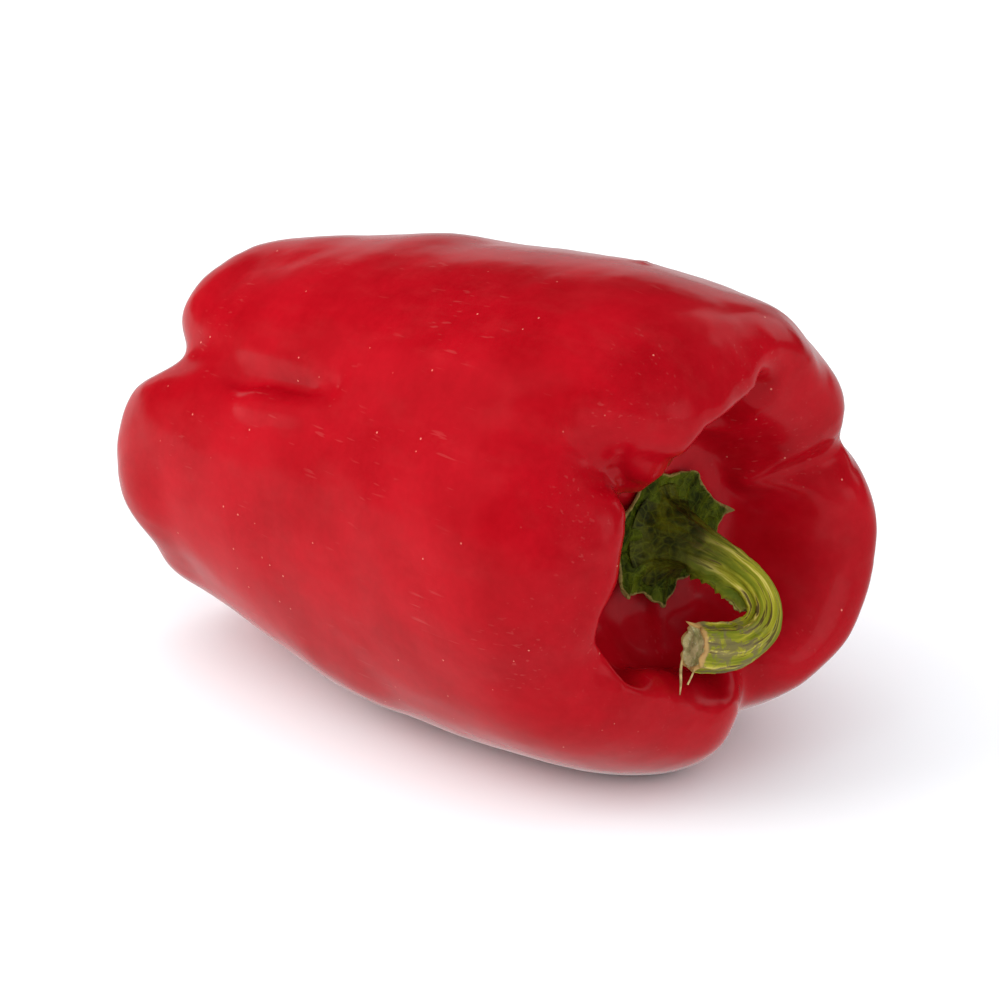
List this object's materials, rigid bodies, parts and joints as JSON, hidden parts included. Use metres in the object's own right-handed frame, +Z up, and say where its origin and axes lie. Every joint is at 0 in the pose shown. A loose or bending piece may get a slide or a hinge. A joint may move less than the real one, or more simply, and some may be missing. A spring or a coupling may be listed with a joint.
{
  "type": "bell pepper",
  "caption": "Blocky red bell pepper lying on its side, with a deep stem cavity, a leafy green calyx and a hooked cut stem.",
  "frame": {"origin": "on the surface that the pepper lies on, under the middle of its bounding box", "axes": "+Z up, +X along the pepper's length towards the stem end"},
  "size_m": [0.1478, 0.0934, 0.0955],
  "materials": {
    "skin": "waxy, glossy red skin",
    "calyx": "dull dark green leaf",
    "stem": "satin, ribbed and streaked yellow-green"
  },
  "bodies": {
    "root": {"fruit": "skin", "calyx": "calyx", "stem": "stem"}
  },
  "joints": []
}
